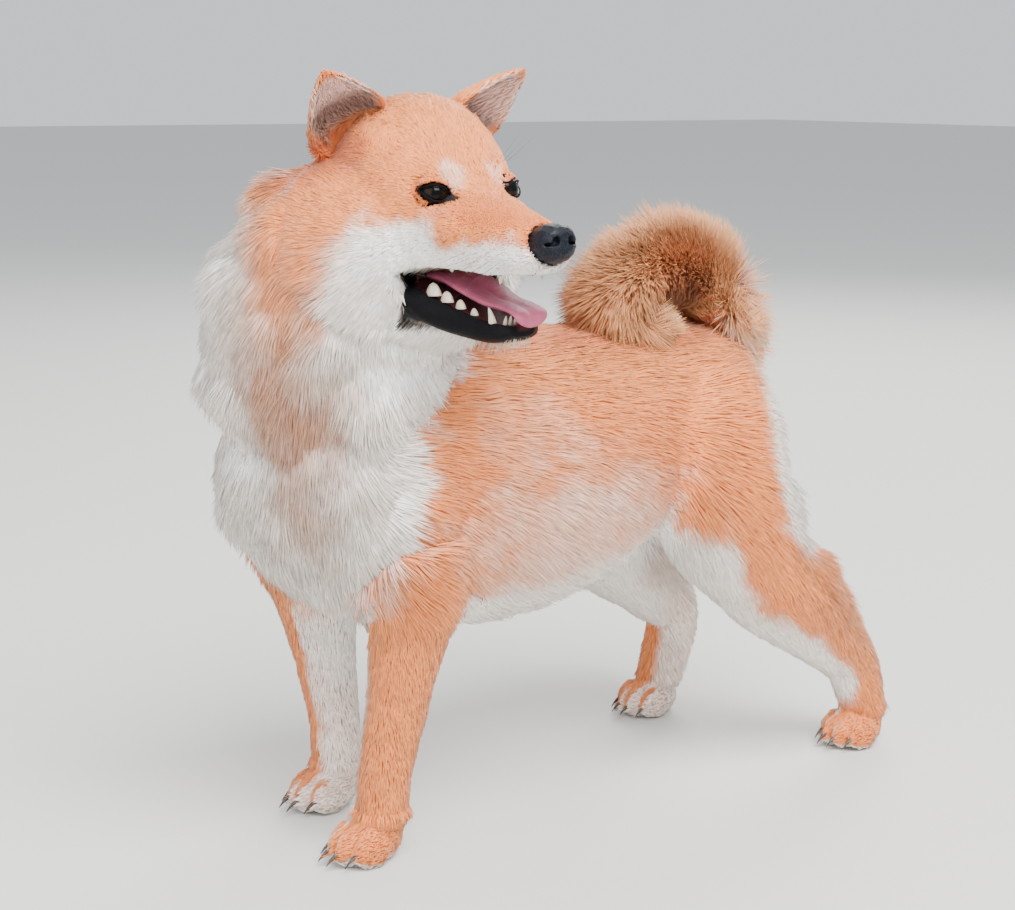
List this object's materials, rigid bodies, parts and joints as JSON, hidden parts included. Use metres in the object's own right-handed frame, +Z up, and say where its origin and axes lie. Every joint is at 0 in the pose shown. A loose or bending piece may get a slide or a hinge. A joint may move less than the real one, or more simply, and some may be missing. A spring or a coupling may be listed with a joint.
{
  "type": "shiba inu model",
  "caption": "Life-size standing model of a shiba inu, head turned to its left, mouth open, tail curled over the back.",
  "frame": {"origin": "centre of the model's footprint box, on the floor under the paws", "axes": "+X to the dog's front, +Y to the dog's left, +Z up"},
  "size_m": [0.5996, 0.3458, 0.5738],
  "materials": {
    "coat": "dense short coat, red with cream underparts",
    "lip": "black lip skin, satin",
    "tongue": "moist pink",
    "nose_leather": "fine-grained, slightly moist",
    "eye": "polished glass eye"
  },
  "bodies": {
    "root": {"head": "coat", "ear_left": "coat", "ear_right": "coat", "lower_jaw": "lip", "tongue": "tongue", "nose": "nose_leather", "eye_left": "eye", "eye_right": "eye", "paw_front_left": "coat", "paw_front_right": "coat", "paw_hind_left": "coat", "paw_hind_right": "coat", "neck": "coat", "foreleg_left": "coat", "foreleg_right": "coat", "hindleg_left": "coat", "hindleg_right": "coat", "torso": "coat", "tail_base": "coat", "tail_middle": "coat", "tail_tip": "coat"}
  },
  "joints": []
}
